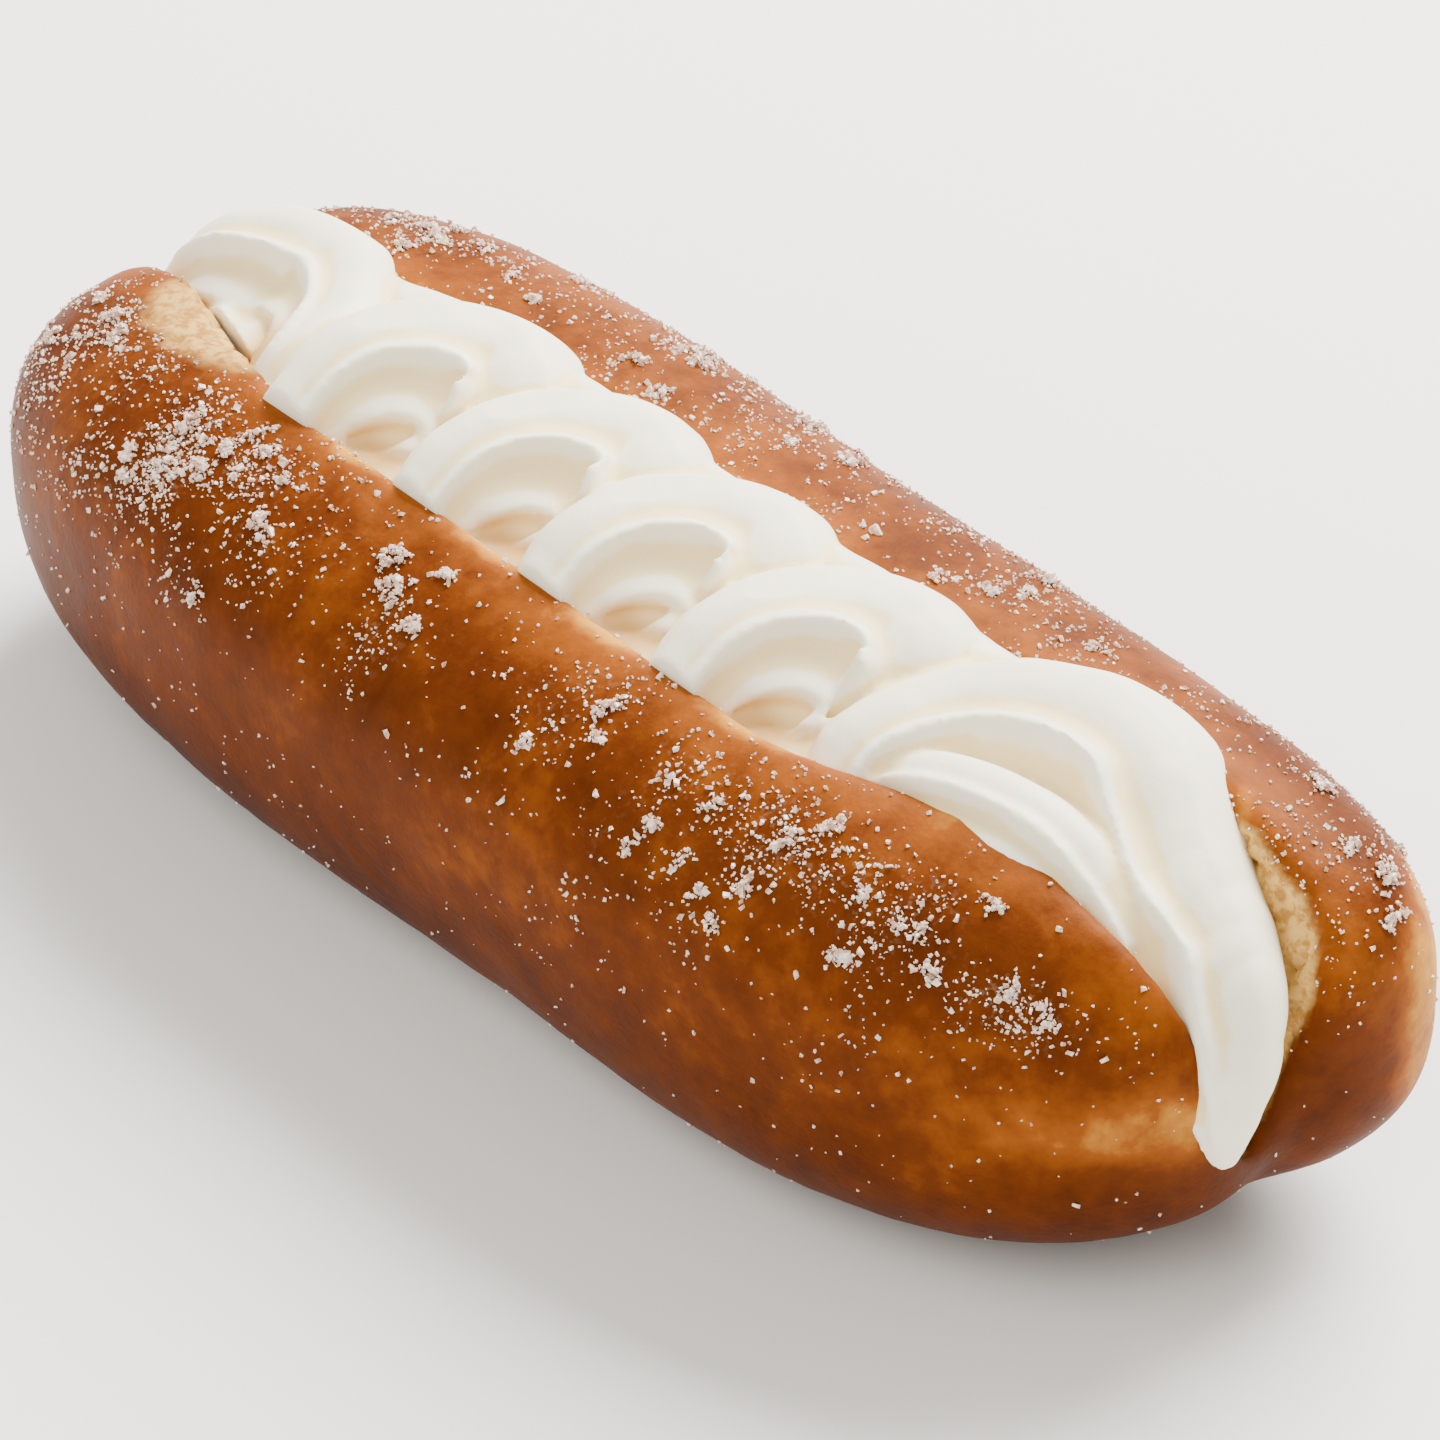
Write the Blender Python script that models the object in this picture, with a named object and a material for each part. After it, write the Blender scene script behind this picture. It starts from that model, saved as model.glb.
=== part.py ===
"""Finger doughnut: a fried bun split along its top, filled with piped cream and dusted with sugar.

Lengths are in metres, with +Z up. +X runs along the doughnut towards the end where the cut
opens, +Y towards its far flank. The origin is the middle of the underside that it rests on.
"""
import math
import random

import bmesh
import bpy
from mathutils import Matrix, Vector, noise
from mathutils.bvhtree import BVHTree

MM = 0.001

# Bun: a blunt-ended, squarish oval body
HALF_LENGTH = 80.0 * MM
HALF_WIDTH = 30.9 * MM
HALF_HEIGHT = 22.5 * MM
END_BLUNTNESS = 3.4
SECTION_SQUARENESS = 2.95
SKEW = 0.22            # how far the ends are sheared, along X for each metre of Y
END_RAKE = 0.037       # and for each metre of Z
BOW = 5.8 * MM         # both ends bend this far towards +Y
SWELL = 0.053          # the +X end is this share taller than the middle
LEAN = math.radians(4.4)
LUMP_SIZE = 34.0 * MM  # spacing and height of the dough's own unevenness
LUMP_HEIGHT = 0.9 * MM
WAIST_DEPTH = 3.4 * MM  # the near flank is drawn in low down, past the middle
WAIST_AT = 12.0 * MM
WAIST_SPREAD = 30.0 * MM
NOTCH_DEPTH = 2.2 * MM  # a crease below the cut at the near end
NOTCH_SPREAD = 4.0 * MM
NOTCH_AT = 1.5 * MM
BODY_SUBDIVISIONS = 6

# Where the body's middle lies above and beside the origin
REST_HEIGHT = 21.7 * MM
MIDDLE = Vector((-0.29 * MM, -0.64 * MM, REST_HEIGHT))

# Cut: a rounded V that opens the top and both ends
LIP_HEIGHT = 21.0 * MM
CUT_DEPTH = -12.0 * MM
CUT_DEPTH_AT_ENDS = -7.0 * MM
CUT_HALF_WIDTH = 10.0 * MM
CUT_NARROWS_NEAR = 1.0 * MM
CUT_NARROWS_FAR = 5.3 * MM
CUT_OFFSET = -2.4 * MM
CUT_SHIFT_NEAR = 6.3 * MM
CUT_SHIFT_FAR = 4.4 * MM
CUT_ROUNDING = 0.72
CUT_REACH = 96.0 * MM
SCOOP_AT = Vector((-58.0 * MM, -7.0 * MM, 24.5 * MM))  # torn out of the near lip at the far end
SCOOP_SIZE = (15.0 * MM, 7.5 * MM, 7.0 * MM)
CUT_TOP = 46.0 * MM
BUN_VOXEL = 1.3 * MM
BUN_TRIANGLES = 4600

# Cream: overlapping loops of a fluted rope, over a core that fills the cut. A loop is an arch
# whose two legs stand at the near lip. The rope is fluted deeply on its near side only.
LOOP_MIDDLES = (-28.0 * MM, -8.5 * MM, 9.5 * MM, 28.5 * MM)
LOOP_RADIUS = 9.0 * MM
LOOP_REACH = 11.4 * MM
LOOP_TILT = 1.5 * MM
LOOP_ANGLES = (-105.0, 110.0)
LOOP_STEPS = 24
LEG_RISE = 7.5 * MM
LEG_DROP = 6.0 * MM
LIP_CLEARANCE = 3.6 * MM
ROPE_RADIUS = 11.6 * MM
ROPE_SQUARENESS = 2.8
ROPE_RADIUS_AT_LEGS = 4.8 * MM
ROPE_LEVEL = 14.6 * MM
FLUTES = 12
FLUTE_DEPTH = 2.1 * MM
FLUTE_DEPTH_FAR = 0.5 * MM
FIRST_FLUTE = 22.0
STEPS_PER_FLUTE = 8
CORE_TOP = 18.5 * MM
CORE_TOP_NEAR = 18.4 * MM
CORE_DROP_AT_ENDS = 7.0 * MM
CREAM_VOXEL = 0.9 * MM
CREAM_TRIANGLES = 5600
CLEARANCE = 0.4 * MM

# Routes in millimetres, as (x, y, z, radius)
FIRST_SWEEP = ((-76, 1.5, 4, 3), (-72.5, 2.5, 9, 6.2), (-67, 3.5, 12.6, 8.8),
               (-60, 4.4, 13.8, 9.8), (-53, 3.2, 14.4, 9.2), (-47.5, -1, 16.2, 7.4),
               (-44.6, -6.4, 17.2, 5.4), (-43.8, -11, 14, 4.6))
LAST_SWEEP = ((38, -9, 13, 4.5), (38, -5, 16.6, 6.5), (41, 2, 16.0, 9.0), (47, 7.0, 15.0, 10.8),
              (54, 9.0, 14.2, 11.4), (61, 7.8, 12.4, 10.4), (67, 5.0, 10.6, 9.0),
              (72, 2.4, 8.0, 7.4), (76, 0.4, 4.0, 5.8), (78, -0.5, 0, 3.6), (79.0, -0.9, -3.6, 1.2))
INNER_SWEEP = ((40, -8, 14, 3), (43, -6.4, 17.4, 4.2), (49, -4.2, 18.2, 5.0),
               (56, -2.6, 17.6, 5.2), (62, -2.0, 15.4, 4.8), (67, -2.0, 12.0, 4))
SWEEP_ROLL = 6.0
BACKING = ((-58, 5.0, 12.5, 7.0), (-36, 5.6, 14.6, 8.6), (0, 5.4, 14.8, 9.2), (30, 6.4, 14.8, 9.2),
           (46, 8, 13.6, 8.6))

# Sugar clumps: patches as (along X, round the section from the near flank's foot, spread, count)
CLUMP_SEED = 7
CLUMP_PATCHES = (
    (-65.0 * MM, 140.0, 8.0 * MM, 7),
    (-56.0 * MM, 218.0, 5.0 * MM, 4),
    (-44.0 * MM, 125.0, 5.0 * MM, 7),
    (-43.0 * MM, 224.0, 9.0 * MM, 6),
    (-37.0 * MM, 136.0, 6.0 * MM, 10),
    (-28.0 * MM, 124.0, 12.0 * MM, 4),
    (-18.0 * MM, 226.0, 9.0 * MM, 7),
    (-9.0 * MM, 127.0, 5.0 * MM, 5),
    (5.0 * MM, 235.0, 14.0 * MM, 9),
    (17.0 * MM, 136.0, 7.0 * MM, 5),
    (30.0 * MM, 224.0, 9.0 * MM, 5),
    (33.0 * MM, 128.0, 6.0 * MM, 8),
    (43.0 * MM, 138.0, 5.0 * MM, 5),
    (57.0 * MM, 134.0, 6.0 * MM, 8),
    (67.0 * MM, 133.0, 4.0 * MM, 4),
    (70.0 * MM, 233.0, 9.0 * MM, 5),
)
CLUMP_RADIUS = (0.9 * MM, 2.0 * MM)
CLUMP_SINK = 0.35
CLUMP_SPACING = 2.4 * MM
CLUMP_TO_LIP = 3.6 * MM


def smoothstep(start, end, value):
    """0 before start, 1 after end, and a smooth rise between them."""
    share = min(max((value - start) / (end - start), 0.0), 1.0)
    return share * share * (3.0 - 2.0 * share)


def material(name, colour, roughness):
    """A plain Principled material."""
    made = bpy.data.materials.new(name)
    made.use_nodes = True
    shader = made.node_tree.nodes["Principled BSDF"]
    shader.inputs["Base Color"].default_value = (*colour, 1.0)
    shader.inputs["Roughness"].default_value = roughness
    shader.inputs["Metallic"].default_value = 0.0
    return made


def add_object(name, mesh):
    """A mesh as a new object of the scene."""
    made = bpy.data.objects.new(name, mesh)
    bpy.context.scene.collection.objects.link(made)
    return made


def mesh_of(name, bm):
    """The bmesh as a mesh, with the bmesh freed."""
    mesh = bpy.data.meshes.new(name)
    bm.to_mesh(mesh)
    bm.free()
    return mesh


def apply_modifiers(shape):
    """Replaces the object's mesh by what its modifiers make of it."""
    depsgraph = bpy.context.evaluated_depsgraph_get()
    made = bpy.data.meshes.new_from_object(shape.evaluated_get(depsgraph))
    shape.modifiers.clear()
    shape.data = made


def remesh(shape, voxel, smoothing):
    """One closed skin round everything in the mesh, with its sharp edges rounded."""
    skin = shape.modifiers.new("Skin", "REMESH")
    skin.mode = "VOXEL"
    skin.voxel_size = voxel
    soften = shape.modifiers.new("Soften", "SMOOTH")
    soften.factor = 0.5
    soften.iterations = smoothing
    apply_modifiers(shape)


def thin_out(shape, triangles):
    """Decimates the mesh to about this many triangles."""
    count = sum(len(face.vertices) - 2 for face in shape.data.polygons)
    thin = shape.modifiers.new("Thin", "DECIMATE")
    thin.ratio = min(triangles / count, 1.0)
    apply_modifiers(shape)


def keep_largest_piece(shape):
    """Drops loose scraps and sealed hollows: everything but the largest connected skin."""
    bm = bmesh.new()
    bm.from_mesh(shape.data)
    left = set(bm.verts)
    pieces = []
    while left:
        stack = [left.pop()]
        piece = set(stack)
        while stack:
            for edge in stack.pop().link_edges:
                for vert in edge.verts:
                    if vert in left:
                        left.discard(vert)
                        piece.add(vert)
                        stack.append(vert)
        pieces.append(piece)
    pieces.sort(key=len, reverse=True)
    scraps = [vert for piece in pieces[1:] for vert in piece]
    bmesh.ops.delete(bm, geom=scraps, context="VERTS")
    bm.to_mesh(shape.data)
    bm.free()


def boolean(shape, operation, other):
    """Joins or cuts the shape with another object or a collection of them, then removes those."""
    change = shape.modifiers.new("Change", "BOOLEAN")
    change.operation = operation
    change.solver = "EXACT"
    if isinstance(other, bpy.types.Collection):
        change.operand_type = "COLLECTION"
        change.collection = other
        others = list(other.objects)
    else:
        change.object = other
        others = [other]
    apply_modifiers(shape)
    for used in others:
        bpy.data.objects.remove(used)


def bun_surface(direction):
    """The point of the uncut body's surface that lies in this direction from its middle."""
    along = abs(direction.x / HALF_LENGTH) ** END_BLUNTNESS
    across = abs(direction.y / HALF_WIDTH) ** SECTION_SQUARENESS
    upward = abs(direction.z / HALF_HEIGHT) ** SECTION_SQUARENESS
    around = (across + upward) ** (END_BLUNTNESS / SECTION_SQUARENESS)
    point = direction * (along + around) ** (-1.0 / END_BLUNTNESS)
    lump = noise.noise(point / LUMP_SIZE)
    point += point.normalized() * LUMP_HEIGHT * lump
    share = point.x / HALF_LENGTH
    waist = math.exp(-((point.x - WAIST_AT) / WAIST_SPREAD) ** 2)
    low = smoothstep(0.0, 1.0, 0.5 - point.z / HALF_HEIGHT) * smoothstep(0.0, HALF_WIDTH, -point.y)
    notch = math.exp(-((point.y - NOTCH_AT) / NOTCH_SPREAD) ** 2) * smoothstep(0.8, 1.0, share)
    x = point.x + SKEW * point.y + END_RAKE * point.z - NOTCH_DEPTH * notch
    y = point.y + BOW * share * share + WAIST_DEPTH * waist * low
    z = point.z * (1.0 + SWELL * share)
    return Matrix.Rotation(LEAN, 3, "X") @ Vector((x, y, z))


def uncut_bun():
    """The whole fried body, before the knife."""
    bm = bmesh.new()
    bmesh.ops.create_icosphere(bm, subdivisions=BODY_SUBDIVISIONS, radius=1.0)
    for vert in bm.verts:
        spread = Vector((vert.co.x * HALF_LENGTH, vert.co.y * HALF_WIDTH, vert.co.z * HALF_HEIGHT))
        vert.co = bun_surface(spread)
    return add_object("bun", mesh_of("bun", bm))


def cut_middle(x):
    """The Y of the cut's middle at the lips."""
    near = CUT_SHIFT_NEAR * smoothstep(27 * MM, 56 * MM, x)
    far = CUT_SHIFT_FAR * smoothstep(32 * MM, 75 * MM, -x)
    return CUT_OFFSET + near + far


def cut_half_width(x):
    """Half the cut's opening at the lips."""
    near = CUT_NARROWS_NEAR * smoothstep(30 * MM, 62 * MM, x)
    far = CUT_NARROWS_FAR * smoothstep(32 * MM, 74 * MM, -x)
    return CUT_HALF_WIDTH - near - far


def cut_floor(x):
    """The height of the cut's floor."""
    return CUT_DEPTH + (CUT_DEPTH_AT_ENDS - CUT_DEPTH) * smoothstep(50 * MM, 78 * MM, abs(x))


def cut_wall(x, top, inset, steps):
    """One wall of the cut at x as (distance from the cut's middle, height), from the top down."""
    floor = cut_floor(x) + inset
    wall = []
    for step in range(steps, 0, -1):
        height = floor + (top - floor) * (step / steps) ** 1.6
        level = (height - cut_floor(x)) / (LIP_HEIGHT - cut_floor(x))
        wall.append((cut_half_width(x) * level ** CUT_ROUNDING - inset, height))
    return wall


def cut_section(x, near_top, far_top, inset=0.0, steps=8):
    """The cut's outline across the bun at x, from the near lip down to the floor and up again."""
    middle = cut_middle(x)
    near = cut_wall(x, near_top, inset, steps)
    far = cut_wall(x, far_top, inset, steps)
    points = [Vector((x, middle - width, height)) for width, height in near]
    points.append(Vector((x, middle, cut_floor(x) + inset)))
    points += [Vector((x, middle + width, height)) for width, height in reversed(far)]
    return points


def lofted(name, sections):
    """A closed solid through outlines that all have the same number of points."""
    bm = bmesh.new()
    rings = []
    for section in sections:
        verts = [bm.verts.new(point) for point in section]
        rings.append([bm.edges.new((verts[i - 1], verts[i])) for i in range(len(verts))])
    for ring, following in zip(rings, rings[1:]):
        bmesh.ops.bridge_loops(bm, edges=ring + following)
    bmesh.ops.holes_fill(bm, edges=rings[0] + rings[-1], sides=0)
    bmesh.ops.recalc_face_normals(bm, faces=bm.faces)
    return add_object(name, mesh_of(name, bm))


def ellipsoid(name, middle, size):
    """A closed ellipsoid with these half-axes."""
    bm = bmesh.new()
    bmesh.ops.create_icosphere(bm, subdivisions=3, radius=1.0)
    bmesh.ops.scale(bm, vec=size, verts=bm.verts)
    bmesh.ops.translate(bm, vec=middle, verts=bm.verts)
    return add_object(name, mesh_of(name, bm))


def build_bun():
    """The cut bun with its lips rounded, without sugar."""
    bun = uncut_bun()
    stations = [CUT_REACH * (step / 24.0 - 1.0) for step in range(49)]
    cutter = lofted("cut", [cut_section(x, CUT_TOP, CUT_TOP) for x in stations])
    boolean(bun, "DIFFERENCE", cutter)
    boolean(bun, "DIFFERENCE", ellipsoid("scoop", SCOOP_AT, SCOOP_SIZE))
    remesh(bun, BUN_VOXEL, 10)
    thin_out(bun, BUN_TRIANGLES)
    keep_largest_piece(bun)
    return bun


def flatten_base(bun):
    """Presses the underside flat where it rests."""
    for vert in bun.data.vertices:
        vert.co.z = max(vert.co.z, -REST_HEIGHT)


def star_profile():
    """The nozzle's squarish outline as a closed curve, with sharp ridges and rounded valleys."""
    count = FLUTES * STEPS_PER_FLUTE
    curve = bpy.data.curves.new("nozzle", "CURVE")
    spline = curve.splines.new("POLY")
    spline.points.add(count - 1)
    for step, point in enumerate(spline.points):
        angle = 2.0 * math.pi * step / count
        lean = angle + math.radians(FIRST_FLUTE)
        aside = math.sin(lean)
        upward = math.cos(lean)
        depth = FLUTE_DEPTH_FAR + (FLUTE_DEPTH - FLUTE_DEPTH_FAR) * smoothstep(-0.2, 0.5, aside)
        reach = 1.0 - depth / ROPE_RADIUS * abs(math.sin(FLUTES * angle / 2.0))
        corner = abs(aside) ** ROPE_SQUARENESS + abs(upward) ** ROPE_SQUARENESS
        reach *= corner ** (-1.0 / ROPE_SQUARENESS)
        point.co = (reach * aside, reach * upward, 0.0, 1.0)
    spline.use_cyclic_u = True
    return add_object("nozzle", curve)


def rope(name, nozzle, route):
    """A fluted rope of cream along a route of (point, radius, roll), as a mesh object."""
    curve = bpy.data.curves.new(name, "CURVE")
    curve.dimensions = "3D"
    curve.bevel_mode = "OBJECT"
    curve.bevel_object = nozzle
    curve.use_fill_caps = True
    curve.twist_mode = "Z_UP"
    spline = curve.splines.new("POLY")
    spline.points.add(len(route) - 1)
    for point, (place, radius, roll) in zip(spline.points, route):
        point.co = (*place, 1.0)
        point.radius = radius
        point.tilt = math.radians(roll)
    drawn = add_object(name, curve)
    depsgraph = bpy.context.evaluated_depsgraph_get()
    mesh = bpy.data.meshes.new_from_object(drawn.evaluated_get(depsgraph))
    bpy.data.objects.remove(drawn)
    return add_object(name, mesh)


def loop_route(middle):
    """One loop of the rope: up at the near lip, over to the far side and back to the lip."""
    route = []
    size = cut_half_width(middle) / CUT_HALF_WIDTH
    first, last = LOOP_ANGLES
    for step in range(LOOP_STEPS + 1):
        angle = math.radians(first + (last - first) * step / LOOP_STEPS)
        side = math.cos(angle)
        x = middle + LOOP_RADIUS * math.sin(angle)
        near_lip = cut_middle(x) - cut_half_width(x)
        y = near_lip + LIP_CLEARANCE + LOOP_REACH * side * size
        z = ROPE_LEVEL - LOOP_TILT * math.sin(angle)
        z += LEG_RISE * (1.0 - side) - LEG_DROP * (1.0 - side) ** 2
        radius = ROPE_RADIUS_AT_LEGS + (ROPE_RADIUS * size - ROPE_RADIUS_AT_LEGS) * max(side, 0.0)
        route.append((Vector((x, y, z)), radius, 0.0))
    return route


def smooth_route(points, steps, roll=0.0):
    """Points and radii read from a smooth curve through a few hand-placed ones."""
    route = []
    last = len(points) - 1
    for step in range(steps + 1):
        place = step / steps * last
        k = min(int(place), last - 1)
        t = place - k
        before, start, end, after = (points[min(max(k + d, 0), last)] for d in (-1, 0, 1, 2))
        mixed = []
        for a, b, c, d in zip(before, start, end, after):
            bend = 2 * a - 5 * b + 4 * c - d
            curl = -a + 3 * b - 3 * c + d
            mixed.append(0.5 * (2 * b + (c - a) * t + bend * t * t + curl * t ** 3) * MM)
        route.append((Vector(mixed[:3]), mixed[3], roll))
    return route


def cream_core():
    """The cream that fills the cut below the loops."""
    sections = []
    for step in range(31):
        x = (-68 + 136 * step / 30) * MM
        drop = CORE_DROP_AT_ENDS * smoothstep(46 * MM, 66 * MM, abs(x))
        sections.append(cut_section(x, CORE_TOP_NEAR - drop, CORE_TOP - drop, inset=0.2 * MM))
    return lofted("core", sections)


def join_meshes(name, shapes):
    """All the shapes as one mesh object, not yet united."""
    bm = bmesh.new()
    for shape in shapes:
        bm.from_mesh(shape.data)
        bpy.data.objects.remove(shape)
    return add_object(name, mesh_of(name, bm))


def inflated_copy(shape, distance):
    """A copy of the shape, grown outwards by a distance."""
    bm = bmesh.new()
    bm.from_mesh(shape.data)
    bm.normal_update()
    moves = [(vert, vert.normal * distance) for vert in bm.verts]
    for vert, move in moves:
        vert.co += move
    return add_object("inflated", mesh_of("inflated", bm))


def build_cream(bun):
    """The piped filling, kept just clear of the bun."""
    nozzle = star_profile()
    shapes = [cream_core()]
    shapes.append(rope("start", nozzle, smooth_route(FIRST_SWEEP, 28)))
    for middle in LOOP_MIDDLES:
        shapes.append(rope("loop", nozzle, loop_route(middle)))
    shapes.append(rope("tail", nozzle, smooth_route(LAST_SWEEP, 28, SWEEP_ROLL)))
    shapes.append(rope("inner tail", nozzle, smooth_route(INNER_SWEEP, 20)))
    shapes.append(rope("backing", nozzle, smooth_route(BACKING, 24)))
    bpy.data.objects.remove(nozzle)
    cream = join_meshes("cream", shapes)
    remesh(cream, CREAM_VOXEL, 2)
    thin_out(cream, CREAM_TRIANGLES)
    boolean(cream, "DIFFERENCE", inflated_copy(bun, CLEARANCE))
    keep_largest_piece(cream)
    return cream


def add_clump(draw, place, normal, collection):
    """One clump of sugar grains, partly sunk in the crust."""
    bm = bmesh.new()
    radius = draw.uniform(*CLUMP_RADIUS)
    bmesh.ops.create_icosphere(bm, subdivisions=1, radius=radius)
    for vert in bm.verts:
        vert.co *= draw.uniform(0.75, 1.2)
        vert.co.z *= 0.55
    turn = normal.to_track_quat("Z", "Y").to_matrix().to_4x4()
    spin = Matrix.Rotation(draw.uniform(0.0, math.tau), 4, "Z")
    lift = Matrix.Translation(place - normal * radius * CLUMP_SINK * 0.5)
    bmesh.ops.transform(bm, matrix=lift @ turn @ spin, verts=bm.verts)
    clump = bpy.data.objects.new("clump", mesh_of("clump", bm))
    collection.objects.link(clump)


def add_sugar(bun):
    """Fuses the largest sugar clumps to the crust, in patches as they fell."""
    draw = random.Random(CLUMP_SEED)
    skin = BVHTree.FromPolygons([v.co.copy() for v in bun.data.vertices],
                                [tuple(face.vertices) for face in bun.data.polygons])
    collection = bpy.data.collections.new("sugar")
    bpy.context.scene.collection.children.link(collection)
    taken = []
    for along, around, spread, count in CLUMP_PATCHES:
        for _ in range(count):
            x = along + draw.gauss(0.0, 0.5) * spread
            angle = math.radians(around + math.degrees(draw.gauss(0.0, 0.5) * spread / HALF_WIDTH))
            outward = Vector((0.0, -math.sin(angle), -math.cos(angle)))
            place, normal, _, _ = skin.ray_cast(Vector((x, 0, 0)) + outward * 0.1, -outward)
            if place is None or normal.dot(outward) < 0.3:
                continue
            if any((place - other).length < CLUMP_SPACING for other in taken):
                continue
            from_lip = abs(place.y - cut_middle(place.x)) - cut_half_width(place.x)
            if from_lip < CLUMP_TO_LIP:
                continue
            taken.append(place)
            add_clump(draw, place, normal, collection)
    boolean(bun, "UNION", collection)
    bpy.data.collections.remove(collection)
    keep_largest_piece(bun)


def build():
    """Makes both sub-parts and stands them on the origin."""
    for old in list(bpy.data.objects):
        bpy.data.objects.remove(old)
    bun = build_bun()
    cream = build_cream(bun)
    add_sugar(bun)
    flatten_base(bun)
    for shape in (bun, cream):
        shape.data.transform(Matrix.Translation(MIDDLE))
        shape.data.materials.clear()
        shape.data.shade_smooth()
    bun.data.materials.append(material("fried crust", (0.42, 0.16, 0.04), 0.5))
    cream.data.materials.append(material("whipped cream", (0.88, 0.85, 0.74), 0.6))
    bpy.context.view_layer.update()


build()
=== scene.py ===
"""Looks of a cream-filled finger doughnut: crust, crumb, piped cream and sugar, on a pale floor.

Laid out as an add-on and run as a script. Lengths are in metres, with +Z up. The bun and the
cream are shaped in the body's own frame, whose middle lies at BODY_MIDDLE in the frame.
"""
import math
import random

import bmesh
import bpy
import numpy as np
from bpy.props import FloatProperty, FloatVectorProperty, IntProperty, PointerProperty
from bpy.types import Operator, Panel, PropertyGroup
from mathutils import Matrix, Vector, noise
from mathutils.bvhtree import BVHTree


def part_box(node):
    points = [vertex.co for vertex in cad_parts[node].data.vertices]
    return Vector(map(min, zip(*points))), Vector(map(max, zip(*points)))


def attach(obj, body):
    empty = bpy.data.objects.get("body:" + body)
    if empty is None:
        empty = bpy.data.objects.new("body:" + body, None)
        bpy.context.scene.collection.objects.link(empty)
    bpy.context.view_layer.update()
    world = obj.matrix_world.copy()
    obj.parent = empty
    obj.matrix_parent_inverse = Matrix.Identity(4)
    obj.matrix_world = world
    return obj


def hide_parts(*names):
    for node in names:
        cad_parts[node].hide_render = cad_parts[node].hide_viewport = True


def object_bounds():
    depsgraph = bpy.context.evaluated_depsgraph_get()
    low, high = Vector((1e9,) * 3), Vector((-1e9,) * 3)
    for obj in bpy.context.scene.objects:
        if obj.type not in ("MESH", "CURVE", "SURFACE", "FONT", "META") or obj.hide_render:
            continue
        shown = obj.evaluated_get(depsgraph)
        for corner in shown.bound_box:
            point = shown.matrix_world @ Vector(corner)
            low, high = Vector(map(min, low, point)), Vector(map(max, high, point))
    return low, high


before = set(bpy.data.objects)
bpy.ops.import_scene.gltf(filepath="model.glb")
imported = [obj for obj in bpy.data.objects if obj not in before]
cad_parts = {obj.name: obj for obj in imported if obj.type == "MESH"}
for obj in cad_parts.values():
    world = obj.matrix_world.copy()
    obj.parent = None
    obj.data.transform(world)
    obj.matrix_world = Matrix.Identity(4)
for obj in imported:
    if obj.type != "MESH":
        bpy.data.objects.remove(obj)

bl_info = {
    "name": "Cream-Filled Finger Doughnut",
    "version": (1, 0, 0),
    "blender": (4, 5, 0),
    "location": "3D View > Sidebar > Doughnut",
    "description": "Builds a split finger doughnut with piped cream and a dusting of sugar",
    "category": "Add Mesh",
}

CAD_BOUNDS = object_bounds()
MM = 0.001
BODY = "root"

# Where the body's middle lies in the frame, and the level of its flattened underside
REST_HEIGHT = 21.7 * MM
BODY_MIDDLE = Vector((-0.29 * MM, -0.64 * MM, REST_HEIGHT))

# Bun: a blunt-ended, squarish oval body
END_BLUNTNESS = 3.4
SECTION_SQUARENESS = 2.95
SKEW = 0.22
END_RAKE = 0.037
BOW = 5.8 * MM
SWELL = 0.053
LEAN = math.radians(4.4)
LUMP_SIZE = 34.0 * MM
LUMP_HEIGHT = 0.9 * MM
WAIST_DEPTH = 3.4 * MM
WAIST_AT = 12.0 * MM
WAIST_SPREAD = 30.0 * MM
NOTCH_DEPTH = 2.2 * MM
NOTCH_SPREAD = 4.0 * MM
NOTCH_AT = 1.5 * MM
BODY_SUBDIVISIONS = 6

# Cut: a rounded V that opens the top and both ends
LIP_HEIGHT = 21.0 * MM
CUT_DEPTH = -12.0 * MM
CUT_DEPTH_AT_ENDS = -7.0 * MM
CUT_NARROWS_NEAR = 1.0 * MM
CUT_NARROWS_FAR = 5.3 * MM
CUT_OFFSET = -2.4 * MM
CUT_SHIFT_NEAR = 6.3 * MM
CUT_SHIFT_FAR = 4.4 * MM
CUT_ROUNDING = 0.72
CUT_REACH = 96.0 * MM
CUT_TOP = 46.0 * MM
CUT_STEPS = 48

# Scoop of bare crumb in the near lip, as an ellipsoid's middle and half-axes
SCOOP_AT = Vector((-58.0 * MM, -7.0 * MM, 24.5 * MM))
SCOOP_SIZE = (15.0 * MM, 7.5 * MM, 7.0 * MM)

# How far the lips are rounded: the smoothing steps times the area of one of the skin's cells
LIP_SOFTENING = 17.0 * MM * MM

# Crumb, which starts this deep below the uncut skin, its pores, and the crust's faint relief
CRUMB_FROM = 0.9 * MM
CRUMB_FULL = 1.7 * MM
PORE_DEPTH = 0.7 * MM
LARGE_PORE_DEPTH = 0.9 * MM
SKIN_RELIEF = 0.16 * MM
FINE_SKIN_RELIEF = 0.05 * MM

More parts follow.
